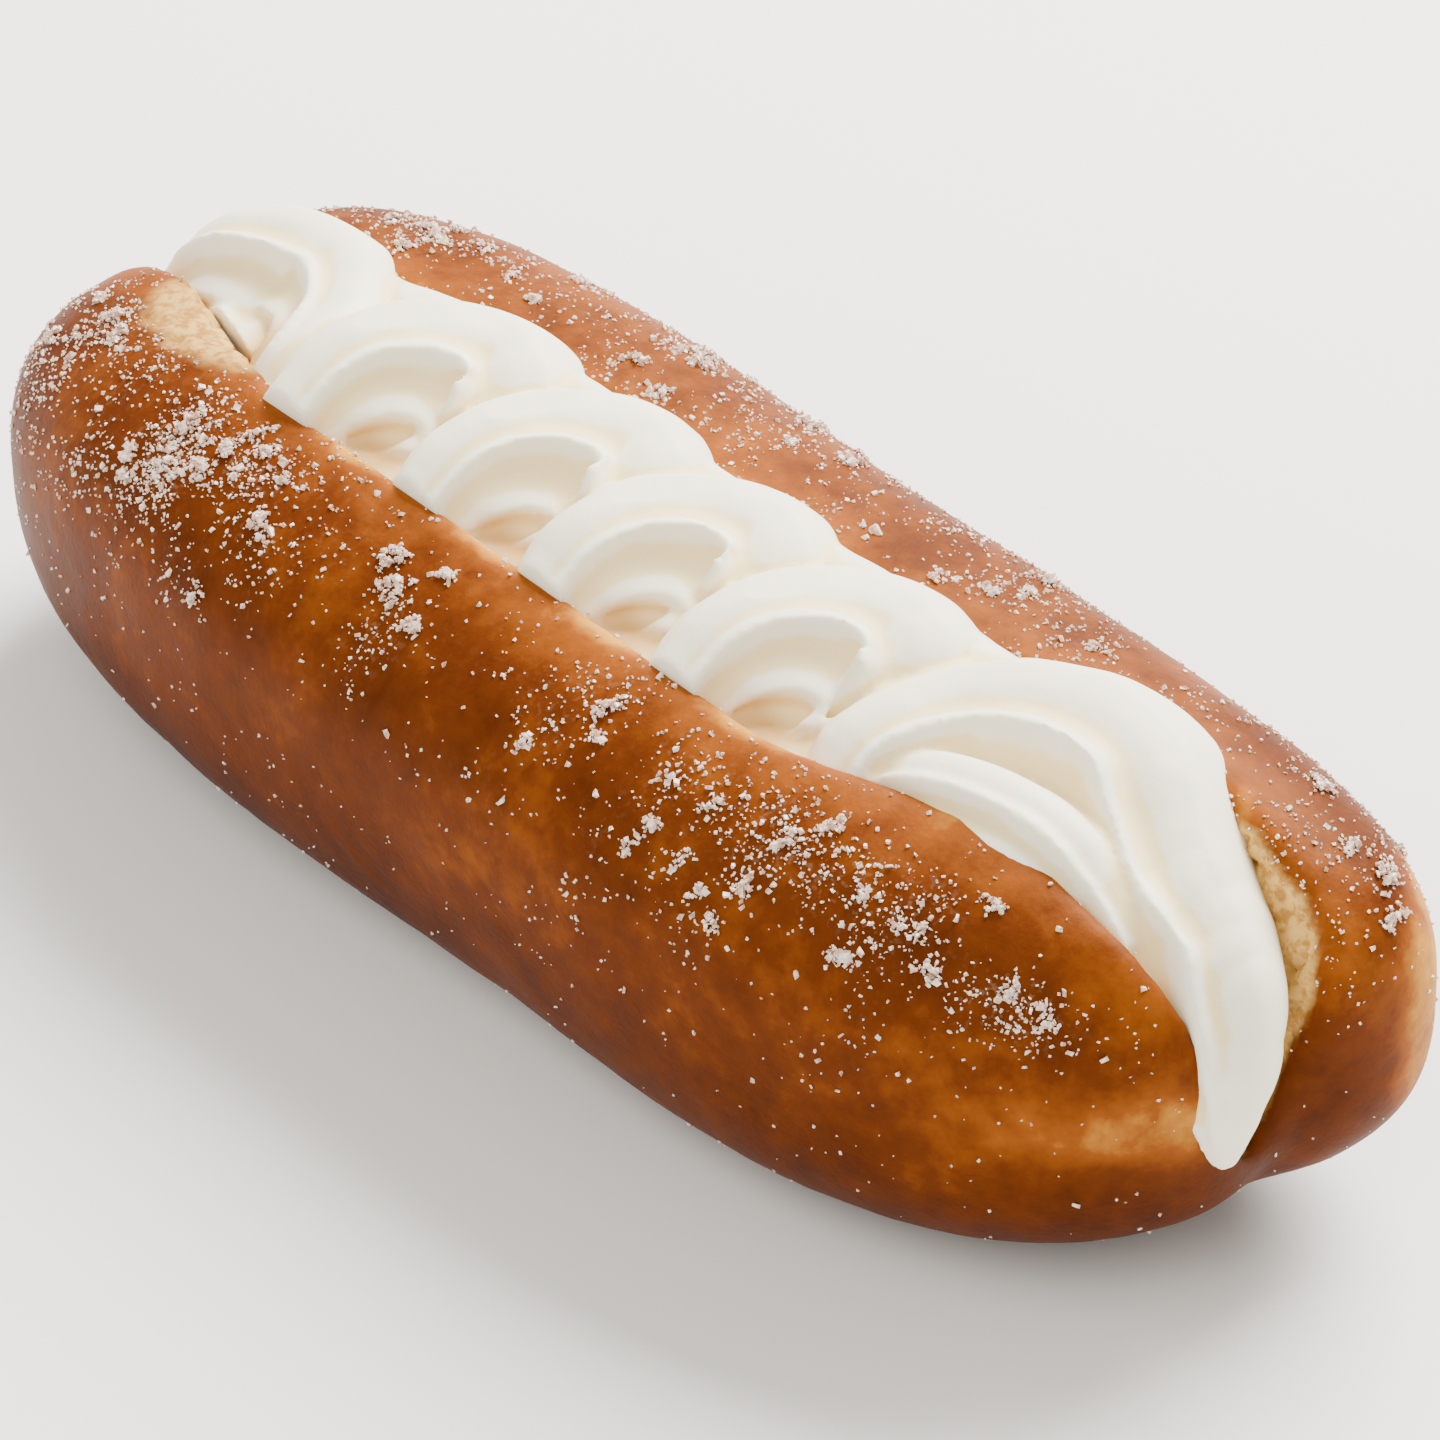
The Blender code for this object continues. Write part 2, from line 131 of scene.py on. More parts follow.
# Cream: overlapping loops of a fluted rope, over a core that fills the cut. A loop is an arch
# whose two legs stand at the near lip. The rope is fluted deeply on its near side only. Angles
# go round a loop in degrees, with 0 at its far side.
LOOP_MIDDLES = (-28.0 * MM, -8.5 * MM, 9.5 * MM, 28.5 * MM)
LOOP_RADIUS = 9.0 * MM  # along X
LOOP_REACH = 12.4 * MM  # across, from the legs to the far side
LOOP_TILT = 1.5 * MM  # how much the rope sinks from its far side to its end
LOOP_ANGLES = (-119.0, 95.0)  # where it starts and ends
LOOP_END = 46.0  # the turn over which its start is rounded
LOOP_FADES = 0.30  # how much thinner it gets towards its end
LOOP_SINKS = 2.4 * MM  # how far that end lies in the next loop
LOOP_STEPS = 60
LOOP_INNER = 1.0  # how far its inner side may reach towards the loop's middle
LEG_RISE = 7.5 * MM  # how the rope's middle rises, and then drops, down to the lip
LEG_DROP = 6.0 * MM
LEG_TAPER = 1.9 * MM  # the first leg is this much thicker, and the second one thinner
LIP_CLEARANCE = 2.6 * MM
# the hollows in the end sweeps take the same painted shade as the loops' hollows
HOLLOWS_AT_ENDS = (-49.0 * MM, 46.0 * MM)  # hollows like the loops', in the end sweeps
HOLLOW_SPREAD = 4.5 * MM
ROPE_SQUARENESS = 2.8
ROPE_LEVEL = 14.6 * MM
FIRST_FLUTE = 22.0
STEPS_PER_FLUTE = 18
CORE_TOP = 18.5 * MM
CORE_TOP_NEAR = 18.4 * MM
CORE_DROP_AT_ENDS = 7.0 * MM
CORE_HALF_LENGTH = 68.0 * MM
CORE_STEPS = 30
CORE_INSET = 0.2 * MM
CREAM_SMOOTHING = 4
CREAM_INTO_CRUMB = 0.25 * MM  # so that no gap shows between them
# painted shade: the range of depths over which the creases darken
CREASE_RANGE = (0.00045 * MM, 0.0078 * MM)  # how far a point lies below those round it
CREASE_SPREAD = 12

# Sweeps: routes in millimetres, as (x, y, z, radius)
FIRST_SWEEP = ((-75, 1.6, 3.6, 3), (-71.2, 2.8, 8.4, 5.8), (-65.8, 4.2, 12.2, 8.0),
               (-59.4, 5.2, 13.6, 8.9), (-53, 4.6, 14.4, 8.7), (-47.5, 0.4, 16.4, 7.2),
               (-44.6, -5.4, 17.2, 5.4), (-43.8, -11, 14, 4.6))
LAST_SWEEP = ((38, -9, 13, 4.5), (38, -5, 16.6, 6.5), (41, 2, 16.0, 9.0), (47, 6.8, 15.0, 10.8),
              (54, 8.4, 14.2, 11.1), (60, 6.5, 12.6, 9.8), (66, 3.8, 10.8, 8.8),
              (71, 2.9, 8.4, 7.9), (75, 1.4, 5.2, 6.2), (77.4, 0.2, 1.4, 4.2),
              (78.6, -0.6, -1.6, 2.3), (79.2, -1.0, -3.8, 0.8))
INNER_SWEEP = ((40, -8, 14, 3), (43, -6.4, 17.4, 4.2), (49, -4.2, 18.2, 5.0),
               (56, -2.6, 17.6, 5.2), (62, -2.0, 15.4, 4.8), (67, -2.0, 12.0, 4))
BACKING = ((-58, 5.0, 12.5, 7.0), (-36, 5.6, 14.6, 8.6), (0, 5.4, 14.8, 9.2), (30, 6.4, 14.8, 9.2),
           (46, 8, 13.6, 8.6))
# Each sweep with its slump: 0 keeps the nozzle's squarish corners, and 1 has none
SWEEPS = ((FIRST_SWEEP, 0.6), (LAST_SWEEP, 0.0), (INNER_SWEEP, 0.5), (BACKING, 1.0))
SWEEP_STEPS = 80

# Sugar patches as (along X, degrees round the section from its foot by way of the near flank,
# spread, count). The first ones hold clumps and loose grains, and the second ones only grains.
CLUMP_SEED = 7
CLUMP_PATCHES = (
    (-65.0 * MM, 140.0, 8.0 * MM, 7),
    (-56.0 * MM, 218.0, 5.0 * MM, 4),
    (-44.0 * MM, 125.0, 5.0 * MM, 7),
    (-43.0 * MM, 224.0, 9.0 * MM, 6),
    (-37.0 * MM, 136.0, 6.0 * MM, 10),
    (-28.0 * MM, 124.0, 12.0 * MM, 4),
    (-18.0 * MM, 226.0, 9.0 * MM, 7),
    (-9.0 * MM, 127.0, 5.0 * MM, 5),
    (5.0 * MM, 235.0, 14.0 * MM, 9),
    (17.0 * MM, 136.0, 7.0 * MM, 5),
    (30.0 * MM, 224.0, 9.0 * MM, 5),
    (33.0 * MM, 128.0, 6.0 * MM, 8),
    (43.0 * MM, 138.0, 5.0 * MM, 5),
    (57.0 * MM, 134.0, 6.0 * MM, 8),
    (67.0 * MM, 133.0, 4.0 * MM, 4),
    (70.0 * MM, 233.0, 9.0 * MM, 5),
)
DUST_PATCHES = (
    (-62.0 * MM, 130.0, 15.0 * MM, 26),
    (-60.0 * MM, 222.0, 14.0 * MM, 12),
    (-30.0 * MM, 228.0, 18.0 * MM, 15),
    (0.0 * MM, 230.0, 18.0 * MM, 24),
    (34.0 * MM, 228.0, 18.0 * MM, 15),
    (64.0 * MM, 228.0, 14.0 * MM, 9),
    (-33.0 * MM, 130.0, 14.0 * MM, 9),
    (24.0 * MM, 130.0, 18.0 * MM, 10),
    (56.0 * MM, 132.0, 12.0 * MM, 5),
)
CLUMP_RADIUS = (0.9 * MM, 2.0 * MM)
CLUMP_SPACING = 2.4 * MM
CLUMP_TO_LIP = 3.6 * MM
LUMP_DRAWS = 13
CRYSTALS_A_CLUMP = 70
FEWEST_CRYSTALS = 14
LOBES_A_CLUMP = 5
GRAIN_SCATTER = 0.35 * MM

# The photograph's view: angles round and above the doughnut, and how far off the camera stands
VIEW_AZIMUTH = math.radians(50.11)
VIEW_ELEVATION = math.radians(36.0)
VIEW_DISTANCE = 0.8
VIEW_LENS = 216.1
VIEW_SENSOR = 36.0
VIEW_ASIDE = 6.36 * MM
VIEW_BELOW = 0.41 * MM
LIGHT_DISTANCE = 1.0
FLOOR_HALF_WIDTH = 3.0


def smoothstep(start, end, value):
    """0 before start, 1 after end, and a smooth rise between them; also for arrays."""
    share = np.clip((value - start) / (end - start), 0.0, 1.0)
    return share * share * (3.0 - 2.0 * share)


def colour(name, text, default):
    """A colour property in linear light."""
    return FloatVectorProperty(name=name, description=text, subtype="COLOR", size=3, min=0.0,
                               max=1.0, default=default)


def distance(name, text, default):
    """A length property in metres."""
    return FloatProperty(name=name, description=text, subtype="DISTANCE", unit="LENGTH",
                         default=default, precision=5)


class BunSettings(PropertyGroup):
    """Sizes and colours of the fried bun."""
    half_length: distance("Half Length", "Half the body's length", 80.0 * MM)
    half_width: distance("Half Width", "Half the body's width", 30.9 * MM)
    half_height: distance("Half Height", "Half the body's height", 22.5 * MM)
    cut_half_width: distance("Half Cut", "Half the cut's opening at the lips", 10.0 * MM)
    voxel: distance("Detail", "Size of the skin's cells", 0.69 * MM)
    # dark crust, which also paints the shade at the foot and on the far end's low flank
    dark: colour("Dark Crust", "Where the crust fried longest", (0.044, 0.0078, 0.0013))
    brown: colour("Brown Crust", "Most of the crust", (0.108, 0.0222, 0.0019))
    golden: colour("Golden Crust", "Round the lips", (0.25, 0.064, 0.0056))
    # pale crust, which also paints the light from behind along the view's right edge
    pale: colour("Pale Crust", "Where the crust barely fried", (0.56, 0.25, 0.031))
    crumb: colour("Crumb", "The cut dough inside", (0.66, 0.42, 0.13))


class CreamSettings(PropertyGroup):
    """Sizes and colours of the piped filling."""
    rope_radius: distance("Rope", "Radius of the piped rope", 11.6 * MM)
    leg_radius: distance("Rope at Lip", "Radius of the rope at the near lip", 4.8 * MM)
    flutes: IntProperty(name="Flutes", description="Teeth of the nozzle", default=8, min=4,
                        max=16)
    flute_depth: distance("Flute Depth", "How deep the teeth cut on the near side", 3.0 * MM)
    far_depth: distance("Far Flute Depth", "How deep they cut on the far side", 0.5 * MM)
    voxel: distance("Detail", "Size of the skin's cells", 0.445 * MM)
    base: colour("Cream", "Whipped cream in the light", (0.95, 0.90, 0.74))
    # painted shade: the colour that the cream's creases are given
    deep: colour("Creases", "Cream in the creases", (0.93, 0.76, 0.43))
    # painted shade: the warm, dark colour that the hollows by the near lip are given
    crumb: colour("Hollows", "Thin cream over the crumb", (0.56, 0.30, 0.05))


class SugarSettings(PropertyGroup):
    """Amount and colour of the sugar."""
    grains: IntProperty(name="Grains", description="Loose grains on the crust", default=8500)
    grain_size: distance("Grain", "Width of a grain", 0.21 * MM)
    white: colour("Sugar", "Sugar crystals", (0.84, 0.68, 0.60))


class StageSettings(PropertyGroup):
    """The floor and the light."""
    floor: colour("Floor", "The plain floor", (0.86, 0.86, 0.86))
    key_power: FloatProperty(name="Key", description="Power of the soft key light", unit="POWER",
                             default=50.0)
    fill_power: FloatProperty(name="Fill", description="Power of the fill light", unit="POWER",
                              default=8.0)
    sky: FloatProperty(name="Sky", description="Strength of the light from all round",
                       default=0.9)
    warmth: colour("Light", "Colour of the light", (1.0, 0.955, 0.88))


class Wire:
    """A shader socket that takes part in arithmetic: each operator adds a Math node."""

    def __init__(self, finish, socket):
        self.finish = finish
        self.socket = socket

    def maths(self, operation, first, second):
        """The result of one Math node."""
        return self.finish.node("ShaderNodeMath", {"operation": operation}, {0: first, 1: second})

    def __add__(self, other):
        return self.maths("ADD", self, other)

    __radd__ = __add__

    def __sub__(self, other):
        return self.maths("SUBTRACT", self, other)

    def __rsub__(self, other):
        return self.maths("SUBTRACT", other, self)

    def __mul__(self, other):
        return self.maths("MULTIPLY", self, other)

    __rmul__ = __mul__

    def ramped(self, low, high):
        """0 at low, 1 at high, with a smooth rise between them."""
        return self.finish.node("ShaderNodeMapRange", {"interpolation_type": "SMOOTHSTEP"},
                                {"Value": self, "From Min": low, "From Max": high})


class Finish:
    """A material under construction, round its Principled shader."""

    def __init__(self, name):
        self.material = bpy.data.materials.new(name)
        self.material.use_nodes = True
        self.tree = self.material.node_tree
        self.shader = self.tree.nodes["Principled BSDF"]
        self.place = self.node("ShaderNodeTexCoord", output="Object")

    def node(self, kind, settings=None, inputs=None, output=0):
        """A new node with its settings, then its sockets' values or links; gives one output."""
        made = self.tree.nodes.new(kind)
        for key, value in (settings or {}).items():
            if key == "stops":
                self.set_stops(made.color_ramp, value)
            else:
                setattr(made, key, value)
        for key, value in (inputs or {}).items():
            self.put(made.inputs[key], value)
        return Wire(self, made.outputs[output])

    def set_stops(self, ramp, stops):
        """Gives a colour ramp these (position, colour) stops."""
        while len(ramp.elements) < len(stops):
            ramp.elements.new(0.5)
        for element, (position, shade) in zip(ramp.elements, stops):
            element.position = position
            element.color = (*shade, 1.0)

    def put(self, socket, value):
        """Links a wire to a socket, or sets its value."""
        if isinstance(value, Wire):
            self.tree.links.new(value.socket, socket)
        else:
            socket.default_value = value

    def noise(self, scale, detail=2.0, roughness=0.5):
        """Soft noise over the piece, with this many features in a metre."""
        return self.node("ShaderNodeTexNoise", {},
                         {"Vector": self.place, "Scale": scale, "Detail": detail,
                          "Roughness": roughness})

    def attribute(self, name):
        """A number that the piece's mesh holds for each point."""
        return self.node("ShaderNodeAttribute", {"attribute_name": name}, output="Fac")

    def mix(self, factor, first, second):
        """A blend of two colours."""
        tints = [(*tint, 1.0) if not isinstance(tint, Wire) else tint for tint in (first, second)]
        return self.node("ShaderNodeMix", {"data_type": "RGBA"},
                         {0: factor, 6: tints[0], 7: tints[1]}, output=2)

    def bump(self, height, depth, strength=1.0):
        """A normal from a height between 0 and 1, where 1 stands this deep."""
        return self.node("ShaderNodeBump", {},
                         {"Height": height, "Distance": depth, "Strength": strength})

    def surface(self, sockets):
        """Sets or links the shader's own sockets."""
        for key, value in sockets.items():
            self.put(self.shader.inputs[key], value)
        return self.material


def crust_finish(tones):
    """Fried crust, mottled from dark brown to pale gold, and the porous crumb of the cut."""
    finish = Finish("fried crust")
    tone = finish.attribute("tone")
    crumb = finish.attribute("crumb")
    dust = finish.attribute("dust")
    blotch = finish.noise(75.0, 3.0, 0.55)
    mottle = finish.noise(330.0, 4.0, 0.6)
    speck = finish.noise(1500.0, 2.0)
    level = tone + (blotch - 0.5) * 0.62 + (mottle - 0.5) * 0.5
    crust = finish.node("ShaderNodeValToRGB",
                        {"stops": [(0.12, tones.dark), (0.45, tones.brown),
                                   (0.74, tones.golden), (1.0, tones.pale)]}, {"Fac": level})
    sugary = speck.ramped(0.56, 0.68) * dust
    crust = finish.mix(sugary * 0.35, crust, (0.50, 0.36, 0.24))
    pore = finish.noise(900.0, 3.0, 0.6)
    # painted shade: the crumb is darker wherever the pores' bump sinks
    painted_pore_shade = tuple(part * share for part, share in zip(tones.crumb, (0.62, 0.5, 0.38)))
    crumbs = finish.mix(pore.ramped(0.35, 0.6), painted_pore_shade, tones.crumb)
    skin = finish.mix(crumb, crust, crumbs)
    relief = mottle * 0.35 + speck * 0.25 + pore * crumb * 0.6
    return finish.surface({
        "Base Color": skin,
        "Roughness": 0.42 + mottle * 0.18 + crumb * 0.25,
        "Normal": finish.bump(relief, 0.35 * MM, 0.55),
        "Specular IOR Level": 0.07,
        "Specular Tint": (1.0, 0.62, 0.36, 1.0),
        "Subsurface Weight": 0.05,
        "Subsurface Scale": 1.0 * MM,
    })


def cream_finish(tints):
    """Whipped cream: soft, warm white, with painted shade, yellower and darker, in its creases and
    hollows.
    """
    finish = Finish("whipped cream")
    crease = finish.attribute("crease")
    silk = finish.noise(260.0, 3.0)
    fine = finish.noise(2200.0, 2.0)
    # painted shade: the creases take the darker, yellower colour
    shade = finish.mix(crease, tints.base, tints.deep)
    # painted shade: the hollows by the near lip take a dark, warm ochre
    shade = finish.mix(finish.attribute("butter") * 0.85, shade, tints.crumb)
    return finish.surface({
        "Base Color": shade,
        "Roughness": 0.40 + silk * 0.16,
        "Normal": finish.bump(fine * 0.5 + silk * 0.5, 0.12 * MM, 0.35),
        "Specular IOR Level": 0.35,
        "Subsurface Weight": 0.3,
        "Subsurface Radius": (1.0, 0.75, 0.45),
        "Subsurface Scale": 0.9 * MM,
    })


def sugar_finish(tint):
    """Sugar crystals: bright, with a hard gleam and a little light inside."""
    finish = Finish("sugar")
    grain = finish.noise(1500.0, 1.0)
    dull = tuple(part * share for part, share in zip(tint, (0.62, 0.5, 0.42)))
    shade = finish.mix(grain.ramped(0.35, 0.6), dull, tint)
    return finish.surface({
        "Base Color": shade,
        "Roughness": 0.16 + grain * 0.3,
        "Specular IOR Level": 0.6,
        "Subsurface Weight": 0.25,
        "Subsurface Scale": 0.6 * MM,
    })


def floor_finish(tint):
    """Plain matt studio floor."""
    finish = Finish("studio floor")
    cloud = finish.noise(4.0, 1.0)
    shade = finish.mix(cloud.ramped(0.2, 0.8), tint, tuple(part * 0.99 for part in tint))
    return finish.surface({"Base Color": shade, "Roughness": 0.9, "Specular IOR Level": 0.1})


def add_object(name, mesh):
    """A mesh or curve as a new object of the scene."""
    made = bpy.data.objects.new(name, mesh)
    bpy.context.scene.collection.objects.link(made)
    return made


def mesh_of(name, bm):
    """The bmesh as a mesh, with the bmesh freed."""
    mesh = bpy.data.meshes.new(name)
    bm.to_mesh(mesh)
    bm.free()
    return mesh


def apply_modifiers(shape):
    """Replaces the object's mesh by what its modifiers make of it."""
    depsgraph = bpy.context.evaluated_depsgraph_get()
    made = bpy.data.meshes.new_from_object(shape.evaluated_get(depsgraph))
    shape.modifiers.clear()
    shape.data = made


def remesh(shape, voxel, smoothing):
    """One closed skin round everything in the mesh, with its sharp edges rounded."""
    skin = shape.modifiers.new("Skin", "REMESH")
    skin.mode = "VOXEL"
    skin.voxel_size = voxel
    soften = shape.modifiers.new("Soften", "SMOOTH")
    soften.factor = 0.5
    soften.iterations = smoothing
    apply_modifiers(shape)


def subtract(shape, cutter):
    """Cuts one closed mesh out of another, and removes the cutter."""
    change = shape.modifiers.new("Cut", "BOOLEAN")
    change.operation = "DIFFERENCE"
    change.solver = "MANIFOLD"
    change.object = cutter
    apply_modifiers(shape)
    bpy.data.objects.remove(cutter)


def keep_largest_piece(shape):
    """Drops loose scraps and sealed hollows: everything but the largest connected skin."""
    bm = bmesh.new()
    bm.from_mesh(shape.data)
    left = set(bm.verts)
    pieces = []
    while left:
        stack = [left.pop()]
        piece = set(stack)
        while stack:
            for edge in stack.pop().link_edges:
                for vert in edge.verts:
                    if vert in left:
                        left.discard(vert)
                        piece.add(vert)
                        stack.append(vert)
        pieces.append(piece)
    pieces.sort(key=len, reverse=True)
    scraps = [vert for piece in pieces[1:] for vert in piece]
    bmesh.ops.delete(bm, geom=scraps, context="VERTS")
    bm.to_mesh(shape.data)
    bm.free()


def vertex_arrays(mesh):
    """The mesh's points and normals as arrays."""
    places = np.empty(len(mesh.vertices) * 3, np.float32)
    mesh.vertices.foreach_get("co", places)
    normals = np.empty(len(mesh.vertices) * 3, np.float32)
    mesh.vertices.foreach_get("normal", normals)
    return places.reshape(-1, 3).astype(float), normals.reshape(-1, 3).astype(float)


def set_places(mesh, places):
    """Moves the mesh's points."""
    mesh.vertices.foreach_set("co", places.astype(np.float32).ravel())
    mesh.update()


def set_attribute(mesh, name, values):
    """Keeps a number for each point of the mesh."""
    layer = mesh.attributes.new(name, "FLOAT", "POINT")
    layer.data.foreach_set("value", np.asarray(values, np.float32))


def attribute_of(mesh, name):
    """The numbers that the mesh holds under this name."""
    values = np.empty(len(mesh.vertices), np.float32)
    mesh.attributes[name].data.foreach_get("value", values)
    return values


def noise_at(places, size, seed=0.0):
    """Smooth noise, about -1 to 1, at each place, with features of this size."""
    shift = Vector((seed, 2.0 * seed, -seed))
    return np.array([noise.noise(Vector(place) / size + shift) for place in places])


def skin_tree(mesh):
    """The mesh's surface, ready for rays and nearest points."""
    return BVHTree.FromPolygons([vert.co.copy() for vert in mesh.vertices],
                                [tuple(face.vertices) for face in mesh.polygons])


def fit_into(places, node):
    """Keeps places inside the box of the frame's solid."""
    low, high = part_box(node)
    return np.clip(places, np.array(low), np.array(high))


def bun_surface(direction, bun):
    """The point of the uncut body's surface that lies in this direction from its middle."""
    along = abs(direction.x / bun.half_length) ** END_BLUNTNESS
    across = abs(direction.y / bun.half_width) ** SECTION_SQUARENESS
    upward = abs(direction.z / bun.half_height) ** SECTION_SQUARENESS
    around = (across + upward) ** (END_BLUNTNESS / SECTION_SQUARENESS)
    point = direction * (along + around) ** (-1.0 / END_BLUNTNESS)
    lump = noise.noise(point / LUMP_SIZE)
    point += point.normalized() * LUMP_HEIGHT * lump
    share = point.x / bun.half_length
    waist = math.exp(-((point.x - WAIST_AT) / WAIST_SPREAD) ** 2)
    low = smoothstep(0.0, 1.0, 0.5 - point.z / bun.half_height)
    low *= smoothstep(0.0, bun.half_width, -point.y)
    notch = math.exp(-((point.y - NOTCH_AT) / NOTCH_SPREAD) ** 2) * smoothstep(0.8, 1.0, share)
    x = point.x + SKEW * point.y + END_RAKE * point.z - NOTCH_DEPTH * notch
    y = point.y + BOW * share * share + WAIST_DEPTH * waist * low
    z = point.z * (1.0 + SWELL * share)
    return Matrix.Rotation(LEAN, 3, "X") @ Vector((x, y, z))


def uncut_bun(bun):
    """The whole fried body, before the knife."""
    bm = bmesh.new()
    bmesh.ops.create_icosphere(bm, subdivisions=BODY_SUBDIVISIONS, radius=1.0)
    for vert in bm.verts:
        spread = Vector((vert.co.x * bun.half_length, vert.co.y * bun.half_width,
                         vert.co.z * bun.half_height))
        vert.co = bun_surface(spread, bun)
    return add_object("bun_crust", mesh_of("bun_crust", bm))


def cut_middle(x):
    """The Y of the cut's middle at the lips."""
    near = CUT_SHIFT_NEAR * smoothstep(27 * MM, 56 * MM, x)
    far = CUT_SHIFT_FAR * smoothstep(32 * MM, 75 * MM, -x)
    return CUT_OFFSET + near + far


def cut_half_width(x):
    """Half the cut's opening at the lips."""
    near = CUT_NARROWS_NEAR * smoothstep(30 * MM, 62 * MM, x)
    far = CUT_NARROWS_FAR * smoothstep(32 * MM, 74 * MM, -x)
    return bpy.context.scene.doughnut_bun.cut_half_width - near - far


def cut_floor(x):
    """The height of the cut's floor."""
    return CUT_DEPTH + (CUT_DEPTH_AT_ENDS - CUT_DEPTH) * smoothstep(50 * MM, 78 * MM, abs(x))


def cut_wall(x, top, inset, steps):
    """One wall of the cut at x as (distance from the cut's middle, height), from the top down."""
    floor = cut_floor(x) + inset
    wall = []
    for step in range(steps, 0, -1):
        height = floor + (top - floor) * (step / steps) ** 1.6
        level = (height - cut_floor(x)) / (LIP_HEIGHT - cut_floor(x))
        wall.append((cut_half_width(x) * level ** CUT_ROUNDING - inset, height))
    return wall


def cut_section(x, near_top, far_top, inset=0.0, steps=8):
    """The cut's outline across the bun at x, from the near lip down to the floor and up again."""
    middle = cut_middle(x)
    near = cut_wall(x, near_top, inset, steps)
    far = cut_wall(x, far_top, inset, steps)
    points = [Vector((x, middle - width, height)) for width, height in near]
    points.append(Vector((x, middle, cut_floor(x) + inset)))
    points += [Vector((x, middle + width, height)) for width, height in reversed(far)]
    return points


def lofted(name, sections):
    """A closed solid through outlines that all have the same number of points."""
    bm = bmesh.new()
    rings = []
    for section in sections:
        verts = [bm.verts.new(point) for point in section]
        rings.append([bm.edges.new((verts[i - 1], verts[i])) for i in range(len(verts))])
    for ring, following in zip(rings, rings[1:]):
        bmesh.ops.bridge_loops(bm, edges=ring + following)
    bmesh.ops.holes_fill(bm, edges=rings[0] + rings[-1], sides=0)
    bmesh.ops.recalc_face_normals(bm, faces=bm.faces)
    return add_object(name, mesh_of(name, bm))


def ellipsoid(name, middle, size):
    """A closed ellipsoid with these half-axes."""
    bm = bmesh.new()
    bmesh.ops.create_icosphere(bm, subdivisions=4, radius=1.0)
    bmesh.ops.scale(bm, vec=size, verts=bm.verts)
    bmesh.ops.translate(bm, vec=middle, verts=bm.verts)
    return add_object(name, mesh_of(name, bm))


def patch_density(places, half_width):
    """How thickly sugar lies at each place of the crust: most in the patches of the clumps."""
    x, y, z = places.T
    around = np.degrees(np.arctan2(-y, -z)) % 360.0
    clouds = smoothstep(-0.25, 0.45, noise_at(places, 7 * MM, 3.0))
    density = 0.003 + 0.016 * clouds * smoothstep(-16 * MM, 14 * MM, z)
    for along, middle, spread, count in CLUMP_PATCHES + DUST_PATCHES:
        arc = np.radians(around - middle) * half_width
        away = ((x - along) ** 2 + arc ** 2) / (0.75 * spread) ** 2
        density += count * (6.0 * MM / spread) ** 2 * 0.036 * np.exp(-0.5 * away) * (0.2 + clouds)
    return np.clip(density, 0.0, 1.0)


def crust_tone(places):
    """How golden the crust is at each place: 0 dark brown, 1 pale.

    Golden: the lips, the wedges of lip inside the loops and a band beside the tail's tip. Painted
    light: the far flank, and a pale band along the right edge of the view, as if lit from behind.
    Painted shade: the foot and the far end's low flank. Darker: the far lobe.
    """
    x, y, z = places.T
    half = np.array([cut_half_width(value) for value in x])
    middle = np.array([cut_middle(value) for value in x])
    from_lip = np.abs(y - middle) - half
    lip = (1.0 - smoothstep(0.0, 9.0 * MM, from_lip)) * smoothstep(4 * MM, 14 * MM, z)
    # painted shade: the crust is darker towards its foot and on the far end's low flank
    foot = smoothstep(4 * MM, -14 * MM, z)
    shaded = smoothstep(30 * MM, -40 * MM, x) * smoothstep(6 * MM, -8 * MM, z)
    end = smoothstep(58 * MM, 74 * MM, x) * np.exp(-((z - 1.0 * MM) / (4.5 * MM)) ** 2)
    end *= smoothstep(7 * MM, -1 * MM, y)
    hollow = sum(np.exp(-((x - mid) / HOLLOW_SPREAD) ** 2) for mid in LOOP_MIDDLES)
    wedge = hollow * (1.0 - smoothstep(0.0, 3.0 * MM, from_lip)) * (y < middle) * (z > 10 * MM)
    # painted light: the far flank is lighter where the key light falls on it
    far = smoothstep(4 * MM, 24 * MM, y)
    lobe = smoothstep(56 * MM, 68 * MM, x) * smoothstep(2 * MM, 8 * MM, y)
    # painted light from behind: a pale band along the right edge of the view
    aside = x * math.cos(VIEW_AZIMUTH) + y * math.sin(VIEW_AZIMUTH)
    painted_rim_light = smoothstep(64.5 * MM, 68.0 * MM, aside) * smoothstep(-14 * MM, -2 * MM, z)
    return (0.44 + 0.24 * lip + 0.4 * wedge - 0.12 * foot - 0.10 * shaded + 0.42 * end
            + 0.1 * far * (1.0 - lobe) - 0.04 * lobe + 0.5 * painted_rim_light)


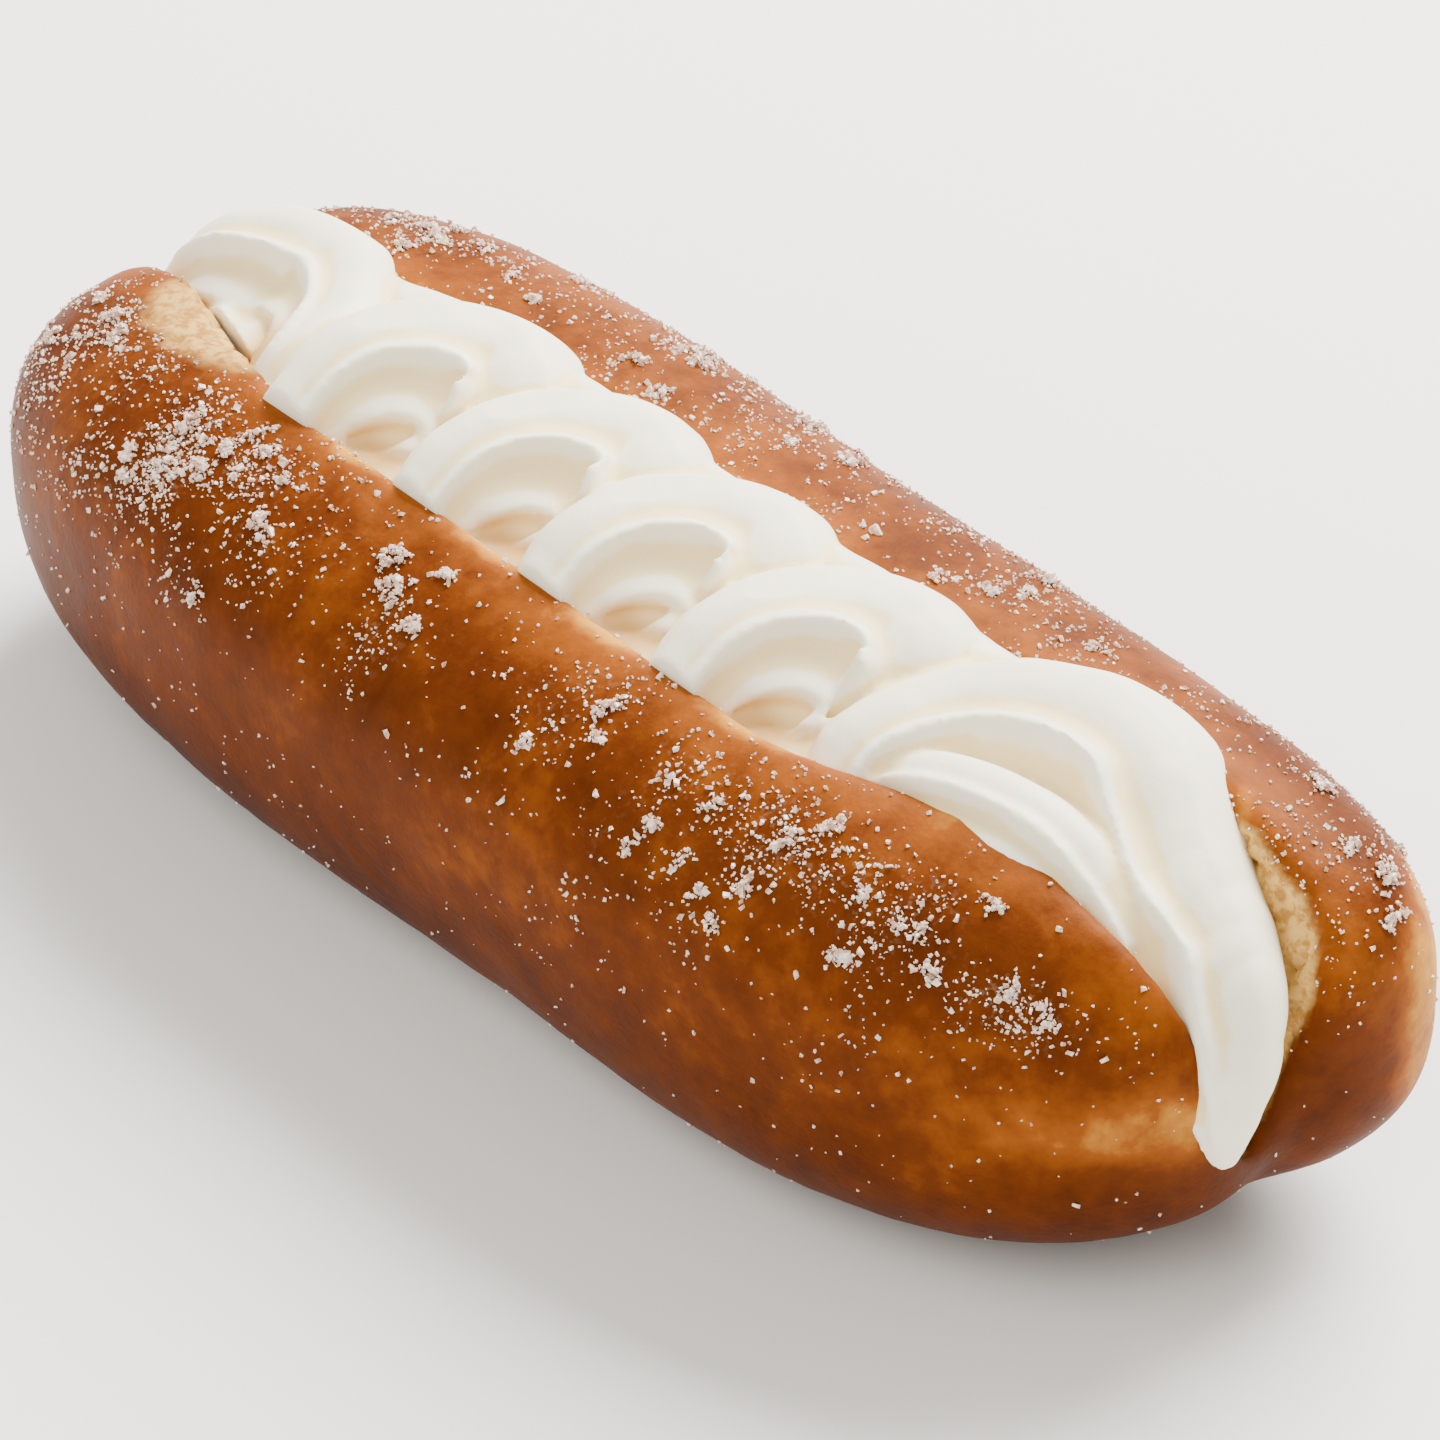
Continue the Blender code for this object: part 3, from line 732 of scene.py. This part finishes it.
def detail_bun(shape, whole):
    """Pores in the crumb, faint relief in the crust, and the tones that the finish reads."""
    places, normals = vertex_arrays(shape.data)
    deep = np.array([whole.find_nearest(Vector(place))[3] for place in places])
    ragged = noise_at(places, 3.0 * MM, 1.0)
    crumb = smoothstep(CRUMB_FROM, CRUMB_FULL, deep + 0.5 * MM * ragged)
    from_scoop = np.linalg.norm((places - np.array(SCOOP_AT)) / np.array(SCOOP_SIZE), axis=1)
    crumb = np.maximum(crumb, 0.85 * smoothstep(1.30, 1.05, from_scoop + 0.08 * ragged))
    pores = noise_at(places, 1.7 * MM, 5.0)
    large = noise_at(places, 4.5 * MM, 8.0)
    holes = smoothstep(0.15, 0.55, pores) * PORE_DEPTH
    holes += smoothstep(0.2, 0.6, large) * LARGE_PORE_DEPTH
    skin = SKIN_RELIEF * noise_at(places, 9.0 * MM, 2.0)
    skin += FINE_SKIN_RELIEF * noise_at(places, 2.6 * MM, 4.0)
    push = (1.0 - crumb) * skin - crumb * holes
    places = places + normals * push[:, None]
    set_attribute(shape.data, "tone", crust_tone(places))
    set_attribute(shape.data, "crumb", crumb)
    half_width = bpy.context.scene.doughnut_bun.half_width
    set_attribute(shape.data, "dust", patch_density(places, half_width))
    places[:, 2] = np.maximum(places[:, 2], -REST_HEIGHT)
    set_places(shape.data, fit_into(places + np.array(BODY_MIDDLE), "bun"))


def star_profile(cream):
    """The nozzle's squarish outline, as arrays of how far each point lies aside and upward.

    A second pair is the same without the squarish corners, for where the rope has slumped.
    """
    count = cream.flutes * STEPS_PER_FLUTE
    angle = np.arange(count) * math.tau / count
    lean = angle + math.radians(FIRST_FLUTE)
    aside, upward = np.sin(lean), np.cos(lean)
    near = smoothstep(-0.2, 0.5, aside)
    depth = cream.far_depth + (cream.flute_depth - cream.far_depth) * near
    reach = 1.0 - depth / cream.rope_radius * np.abs(np.sin(cream.flutes * angle / 2.0))
    corner = np.abs(aside) ** ROPE_SQUARENESS + np.abs(upward) ** ROPE_SQUARENESS
    square = reach * corner ** (-1.0 / ROPE_SQUARENESS)
    return square * aside, square * upward, reach * aside, reach * upward


def rope(name, profile, route):
    """A fluted rope of cream along a route of (point, radius, inner reach, slump).

    It is worked out as arrays, because no swept profile holds back its own inner side: the inner
    reach keeps a tight loop's flutes from crossing at the middle of the loop.
    """
    square_aside, square_upward, round_aside, round_upward = profile
    places = np.array([tuple(step[0]) for step in route])
    radius, inner, slump = np.array([step[1:] for step in route]).T[:, :, None]
    along = np.gradient(places, axis=0)
    along /= np.linalg.norm(along, axis=1)[:, None]
    side = np.cross(along, (0.0, 0.0, 1.0))
    side /= np.linalg.norm(side, axis=1)[:, None]
    rise = np.cross(side, along)
    aside = np.minimum(radius * (square_aside + (round_aside - square_aside) * slump), inner)
    upward = radius * (square_upward + (round_upward - square_upward) * slump)
    rings = (places[:, None, :] + aside[:, :, None] * side[:, None, :]
             + upward[:, :, None] * rise[:, None, :])
    count = len(square_aside)
    start = np.arange(len(route) - 1)[:, None] * count
    first = np.arange(count)[None, :]
    second = (first + 1) % count
    quads = np.stack([start + first, start + second, start + second + count,
                      start + first + count], axis=2).reshape(-1, 4)
    last = (len(route) - 1) * count
    caps = [list(range(count - 1, -1, -1)), list(range(last, last + count))]
    mesh = bpy.data.meshes.new(name)
    mesh.from_pydata(rings.reshape(-1, 3).tolist(), [], quads.tolist() + caps)
    return add_object(name, mesh)


def loop_route(middle, cream):
    """One loop of the rope: up at the near lip, over to the far side and back to the lip."""
    route = []
    size = cut_half_width(middle) / bpy.context.scene.doughnut_bun.cut_half_width
    first, last = LOOP_ANGLES
    for step in range(LOOP_STEPS + 1):
        angle = math.radians(first + (last - first) * step / LOOP_STEPS)
        side = math.cos(angle)
        x = middle + LOOP_RADIUS * math.sin(angle)
        near_lip = cut_middle(x) - cut_half_width(x)
        y = near_lip + LIP_CLEARANCE + LOOP_REACH * side * size
        z = ROPE_LEVEL - LOOP_TILT * math.sin(angle)
        z += LEG_RISE * (1.0 - side) - LEG_DROP * (1.0 - side) ** 2
        leg = cream.leg_radius - LEG_TAPER * math.sin(angle)
        radius = leg + (cream.rope_radius * size - leg) * max(side, 0.0)
        turn = math.degrees(angle)
        radius *= math.sqrt(1.0 - max((first + LOOP_END - turn) / (LOOP_END + 1.0), 0.0) ** 2)
        radius *= 1.0 - LOOP_FADES * smoothstep(5.0, 75.0, turn)
        z -= LOOP_SINKS * smoothstep(0.0, 60.0, turn)
        to_middle = math.hypot(x - middle, LOOP_REACH * side * size)
        slump = smoothstep(20.0, 80.0, abs(turn))
        route.append((Vector((x, y, z)), radius, LOOP_INNER * to_middle, slump))
    return route


def smooth_route(points, slump):
    """A rope's route, read from a smooth curve through a few given points."""
    route = []
    last = len(points) - 1
    for step in range(SWEEP_STEPS + 1):
        place = step / SWEEP_STEPS * last
        k = min(int(place), last - 1)
        t = place - k
        before, start, end, after = (points[min(max(k + d, 0), last)] for d in (-1, 0, 1, 2))
        mixed = []
        for a, b, c, d in zip(before, start, end, after):
            bend = 2 * a - 5 * b + 4 * c - d
            curl = -a + 3 * b - 3 * c + d
            mixed.append(0.5 * (2 * b + (c - a) * t + bend * t * t + curl * t ** 3) * MM)
        route.append((Vector(mixed[:3]), mixed[3], mixed[3], slump))
    return route


def cream_core():
    """The cream that fills the cut below the loops."""
    sections = []
    for step in range(CORE_STEPS + 1):
        x = CORE_HALF_LENGTH * (2.0 * step / CORE_STEPS - 1.0)
        drop = CORE_DROP_AT_ENDS * smoothstep(46 * MM, 66 * MM, abs(x))
        near_drop = drop if x > 0 else CORE_DROP_AT_ENDS * smoothstep(57 * MM, 68 * MM, -x)
        near_top, far_top = CORE_TOP_NEAR - near_drop, CORE_TOP - drop
        sections.append(cut_section(x, near_top, far_top, inset=CORE_INSET))
    return lofted("core", sections)


def join_meshes(name, shapes):
    """All the shapes as one mesh object, not yet united."""
    bm = bmesh.new()
    for shape in shapes:
        bm.from_mesh(shape.data)
        bpy.data.objects.remove(shape)
    return add_object(name, mesh_of(name, bm))


def grown_copy(shape, growth):
    """A copy of the shape, grown outwards by a distance, or shrunk by a negative one."""
    copy = add_object("grown", shape.data.copy())
    places, normals = vertex_arrays(copy.data)
    set_places(copy.data, places + normals * growth)
    return copy


def hollow_shade(places):
    """Painted shade in the loops' hollows by the near lip, warm as if lit back by the crust."""
    x, _, z = places.T
    from_lip = np.array([place[1] - cut_middle(place[0]) + cut_half_width(place[0])
                         for place in places])
    near = smoothstep(6.0 * MM, 3.0 * MM, from_lip) * smoothstep(22 * MM, 19.5 * MM, z)
    middles = LOOP_MIDDLES + HOLLOWS_AT_ENDS
    beside = sum(np.exp(-((x - middle) / HOLLOW_SPREAD) ** 2) for middle in middles)
    return near * np.minimum(beside, 1.0)


def folds(places):
    """Height of the wrinkles where the last sweep sags down the near end, and of soft dents."""
    x, y, _ = places.T
    wrinkled = places * np.array([1.0, 0.28, 1.0]) + np.array([0.0, 0.0, 0.3]) * y[:, None]
    tail = smoothstep(58 * MM, 68 * MM, x)
    wrinkle = np.abs(noise_at(wrinkled, 5.5 * MM, 12.0)) - 0.25
    dent = noise_at(places, 7.0 * MM, 9.0)
    fine = noise_at(places, 2.4 * MM, 6.0)
    return (0.5 * tail * wrinkle + 0.3 * dent + 0.06 * fine) * MM


def detail_cream(shape):
    """The unevenness of whipped cream, and how deep in the creases each place lies, for their
    painted shade.
    """
    places, normals = vertex_arrays(shape.data)
    places = places + normals * folds(places)[:, None]
    set_places(shape.data, places)
    bm = bmesh.new()
    bm.from_mesh(shape.data)
    bm.verts.ensure_lookup_table()
    hollow = np.zeros(len(bm.verts))
    for vert in bm.verts:
        around = [edge.other_vert(vert).co for edge in vert.link_edges]
        if around:
            average = sum(around, Vector()) / len(around)
            hollow[vert.index] = (average - vert.co).dot(vert.normal)
    for _ in range(CREASE_SPREAD):
        spread = np.zeros(len(hollow))
        for vert in bm.verts:
            near = [edge.other_vert(vert).index for edge in vert.link_edges]
            spread[vert.index] = 0.5 * hollow[vert.index] + 0.5 * np.mean(hollow[near])
        hollow = spread
    bm.free()
    set_attribute(shape.data, "crease", smoothstep(*CREASE_RANGE, hollow))
    set_attribute(shape.data, "butter", hollow_shade(places))
    set_places(shape.data, fit_into(places + np.array(BODY_MIDDLE), "cream"))


def clump_spots(skin):
    """Where the larger clumps stuck, as (place, normal, radius) for each.

    They are drawn in the way of the solid's lumps, so most of them lie where it has one.
    """
    draw = random.Random(CLUMP_SEED)
    half_width = bpy.context.scene.doughnut_bun.half_width
    taken = []
    for along, around, spread, count in CLUMP_PATCHES:
        for _ in range(count):
            x = along + draw.gauss(0.0, 0.5) * spread
            angle = math.radians(around + math.degrees(draw.gauss(0.0, 0.5) * spread / half_width))
            outward = Vector((0.0, -math.sin(angle), -math.cos(angle)))
            place, normal, _, _ = skin.ray_cast(Vector((x, 0, 0)) + outward * 0.1, -outward)
            if place is None or normal.dot(outward) < 0.3:
                continue
            if any((place - other[0]).length < CLUMP_SPACING for other in taken):
                continue
            from_lip = abs(place.y - cut_middle(place.x)) - cut_half_width(place.x)
            if from_lip < CLUMP_TO_LIP:
                continue
            taken.append((place, normal, draw.uniform(*CLUMP_RADIUS)))
            for _ in range(LUMP_DRAWS):  # the solid's lump takes these for its form
                draw.random()
    return taken


def scattered(name, places, widths, rng):
    """Many worn, flattened crystals, one at each place, as one mesh object.

    Thousands of them are worked out at once as arrays, which takes a moment only.
    """
    corner = np.array([(i, j, k) for i in (-0.5, 0.5) for j in (-0.5, 0.5) for k in (-0.5, 0.5)])
    face = np.array([(0, 1, 3, 2), (4, 6, 7, 5), (0, 4, 5, 1), (2, 3, 7, 6), (0, 2, 6, 4),
                     (1, 5, 7, 3)])
    count = len(places)
    shape = corner[None] + rng.uniform(-0.2, 0.2, (count, 8, 3))
    shape *= rng.uniform(0.35, 1.25, (count, 1, 3)) * widths[:, None, None]
    points = np.einsum("nij,nkj->nki", random_turns(count, rng), shape) + places[:, None, :]
    faces = face[None] + (np.arange(count) * len(corner))[:, None, None]
    mesh = bpy.data.meshes.new(name)
    mesh.from_pydata(points.reshape(-1, 3).tolist(), [], faces.reshape(-1, 4).tolist())
    return add_object(name, mesh)


def random_turns(count, rng):
    """Random rotation matrices."""
    quaternions = rng.normal(size=(count, 4))
    w, x, y, z = (quaternions / np.linalg.norm(quaternions, axis=1)[:, None]).T
    return np.stack([
        1 - 2 * (y * y + z * z), 2 * (x * y - w * z), 2 * (x * z + w * y),
        2 * (x * y + w * z), 1 - 2 * (x * x + z * z), 2 * (y * z - w * x),
        2 * (x * z - w * y), 2 * (y * z + w * x), 1 - 2 * (x * x + y * y),
    ], axis=1).reshape(-1, 3, 3)


def finish_piece(shape, finish, nodes=()):
    """Gives the piece its finish, hangs it on its body and hides the parts it stands for."""
    shape.data.materials.clear()
    shape.data.materials.append(finish)
    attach(shape, BODY)
    if nodes:
        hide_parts(*nodes)


class DOUGHNUT_OT_bun(Operator):
    """Fry the bun, cut it open and give it its crust"""
    bl_idname = "doughnut.bun"
    bl_label = "Bun"

    def execute(self, context):
        settings = context.scene.doughnut_bun
        bun = uncut_bun(settings)
        whole = skin_tree(bun.data)
        stations = [CUT_REACH * (step / (CUT_STEPS / 2) - 1.0) for step in range(CUT_STEPS + 1)]
        subtract(bun, lofted("cut", [cut_section(x, CUT_TOP, CUT_TOP) for x in stations]))
        subtract(bun, ellipsoid("scoop", SCOOP_AT, SCOOP_SIZE))
        remesh(bun, settings.voxel, int(LIP_SOFTENING / settings.voxel ** 2))
        if not bun.data.vertices:
            raise RuntimeError("the cut left nothing of the bun")
        detail_bun(bun, whole)
        bun.data.shade_smooth()
        finish_piece(bun, crust_finish(settings), ("bun",))
        return {"FINISHED"}


class DOUGHNUT_OT_cream(Operator):
    """Pipe the cream along the cut"""
    bl_idname = "doughnut.cream"
    bl_label = "Cream"

    def execute(self, context):
        settings = context.scene.doughnut_cream
        profile = star_profile(settings)
        shapes = [cream_core()]
        for middle in LOOP_MIDDLES:
            shapes.append(rope("loop", profile, loop_route(middle, settings)))
        for route, slump in SWEEPS:
            shapes.append(rope("sweep", profile, smooth_route(route, slump)))
        cream = join_meshes("piped_cream", shapes)
        remesh(cream, settings.voxel, CREAM_SMOOTHING)
        cutter = grown_copy(bpy.data.objects["bun_crust"], -CREAM_INTO_CRUMB)
        cutter.data.transform(Matrix.Translation(-BODY_MIDDLE))
        subtract(cream, cutter)
        keep_largest_piece(cream)
        if not cream.data.vertices:
            raise RuntimeError("nothing is left of the cream")
        detail_cream(cream)
        cream.data.shade_smooth()
        finish_piece(cream, cream_finish(settings), ("cream",))
        return {"FINISHED"}


class DOUGHNUT_OT_sugar(Operator):
    """Dust the crust with loose grains and clumps of sugar"""
    bl_idname = "doughnut.sugar"
    bl_label = "Sugar"

    def execute(self, context):
        settings = context.scene.doughnut_sugar
        bun = bpy.data.objects["bun_crust"]
        finish = sugar_finish(settings.white)
        rng = np.random.default_rng(CLUMP_SEED)
        places, normals = vertex_arrays(bun.data)
        crumb = attribute_of(bun.data, "crumb")
        weight = attribute_of(bun.data, "dust") * (crumb < 0.3)
        spots = rng.choice(len(places), settings.grains, p=weight / weight.sum())
        widths = settings.grain_size * np.exp(rng.normal(0.0, 0.38, settings.grains))
        jitter = rng.normal(0.0, GRAIN_SCATTER, (settings.grains, 3))
        above = widths * 0.1 - np.sum(jitter * normals[spots], axis=1)
        at = places[spots] + jitter + normals[spots] * above[:, None]
        self.heap("sugar_grains", at, widths, finish, rng)
        at, widths = self.clumps(bun, rng, settings.grain_size)
        self.heap("sugar_clumps", at, widths, finish, rng)
        return {"FINISHED"}

    def heap(self, name, places, widths, finish, rng):
        """One piece of crystals, of those that lie inside the box of the solids."""
        low, high = (np.array(corner) for corner in CAD_BOUNDS)
        room = widths[:, None]
        inside = np.all((places > low + room) & (places < high - room), axis=1)
        finish_piece(scattered(name, places[inside], widths[inside], rng), finish)

    def clumps(self, bun, rng, width):
        """Crystals heaped round the spots where the solid has its lumps, as (places, widths)."""
        mesh = bun.data.copy()
        mesh.transform(Matrix.Translation(-BODY_MIDDLE))
        places, widths = [], []
        for place, normal, radius in clump_spots(skin_tree(mesh)):
            side = normal.orthogonal().normalized()
            across = normal.cross(side)
            lobes = rng.normal(0.0, 0.42 * radius, (LOBES_A_CLUMP, 2))
            share = (radius / CLUMP_RADIUS[1]) ** 2
            for _ in range(int(CRYSTALS_A_CLUMP * share) + FEWEST_CRYSTALS):
                step = lobes[rng.integers(len(lobes))] + rng.normal(0.0, 0.26 * radius, 2)
                away = math.hypot(*step) / radius
                height = 0.42 * radius * max(1.0 - away * away, 0.0) * rng.uniform(0.0, 1.0)
                offset = side * step[0] + across * step[1] + normal * height
                places.append(tuple(place + BODY_MIDDLE + offset))
                widths.append(width * math.exp(rng.normal(0.25, 0.4)))
        return np.array(places), np.array(widths)


class DOUGHNUT_OT_stage(Operator):
    """Set the floor, the soft studio light and the camera"""
    bl_idname = "doughnut.stage"
    bl_label = "Stage"

    def execute(self, context):
        settings = context.scene.doughnut_stage
        bm = bmesh.new()
        bmesh.ops.create_grid(bm, x_segments=1, y_segments=1, size=FLOOR_HALF_WIDTH)
        floor = add_object("floor", mesh_of("floor", bm))
        floor.data.materials.append(floor_finish(settings.floor))
        right = Vector((math.cos(VIEW_AZIMUTH), math.sin(VIEW_AZIMUTH), 0.0))
        level = math.cos(VIEW_ELEVATION)
        back = Vector((math.sin(VIEW_AZIMUTH) * level, -math.cos(VIEW_AZIMUTH) * level,
                       math.sin(VIEW_ELEVATION)))
        up = back.cross(right)
        target = BODY_MIDDLE + right * VIEW_ASIDE - up * VIEW_BELOW
        camera = add_object("camera", bpy.data.cameras.new("camera"))
        camera.matrix_world = (Matrix.Translation(target + back * VIEW_DISTANCE)
                               @ Matrix((right, up, back)).transposed().to_4x4())
        camera.data.lens = VIEW_LENS
        camera.data.sensor_width = VIEW_SENSOR
        context.scene.camera = camera
        self.add_light("key", right * 0.45 + up * 0.75 - back * 0.25 + Vector((0, 0, 0.35)),
                       settings.key_power, 0.7, settings.warmth)
        self.add_light("fill", back * 0.9 - right * 0.5 + up * 0.3, settings.fill_power, 0.9,
                       settings.warmth)
        world = bpy.data.worlds.new("studio")
        world.use_nodes = True
        background = world.node_tree.nodes["Background"]
        background.inputs["Color"].default_value = (*settings.warmth, 1.0)
        background.inputs["Strength"].default_value = settings.sky
        context.scene.world = world
        return {"FINISHED"}

    def add_light(self, name, direction, power, size, tint):
        """A square soft light that looks at the doughnut."""
        light = add_object(name, bpy.data.lights.new(name, "AREA"))
        light.data.energy = power
        light.data.color = tint
        light.data.size = size
        direction = direction.normalized()
        light.matrix_world = (Matrix.Translation(BODY_MIDDLE + direction * LIGHT_DISTANCE)
                              @ direction.to_track_quat("Z", "Y").to_matrix().to_4x4())


class DOUGHNUT_PT_sidebar(Panel):
    """Sizes, colours and one button for each step"""
    bl_label = "Finger Doughnut"
    bl_idname = "DOUGHNUT_PT_sidebar"
    bl_space_type = "VIEW_3D"
    bl_region_type = "UI"
    bl_category = "Doughnut"

    def draw(self, context):
        for group, operator in STEPS:
            box = self.layout.box()
            settings = getattr(context.scene, group)
            for name in type(settings).__annotations__:
                box.prop(settings, name)
            box.operator(operator)


STEPS = (
    ("doughnut_bun", "doughnut.bun"),
    ("doughnut_cream", "doughnut.cream"),
    ("doughnut_sugar", "doughnut.sugar"),
    ("doughnut_stage", "doughnut.stage"),
)
GROUPS = {
    "doughnut_bun": BunSettings,
    "doughnut_cream": CreamSettings,
    "doughnut_sugar": SugarSettings,
    "doughnut_stage": StageSettings,
}
CLASSES = (BunSettings, CreamSettings, SugarSettings, StageSettings, DOUGHNUT_OT_bun,
           DOUGHNUT_OT_cream, DOUGHNUT_OT_sugar, DOUGHNUT_OT_stage, DOUGHNUT_PT_sidebar)


def register():
    """Adds the classes and their settings to Blender."""
    for cls in CLASSES:
        bpy.utils.register_class(cls)
    for name, group in GROUPS.items():
        setattr(bpy.types.Scene, name, PointerProperty(type=group))


def unregister():
    """Takes them away again."""
    for name in GROUPS:
        delattr(bpy.types.Scene, name)
    for cls in reversed(CLASSES):
        bpy.utils.unregister_class(cls)


def main():
    register()
    bpy.ops.doughnut.bun()
    bpy.ops.doughnut.cream()
    bpy.ops.doughnut.sugar()
    bpy.ops.doughnut.stage()


if __name__ == "__main__":
    main()
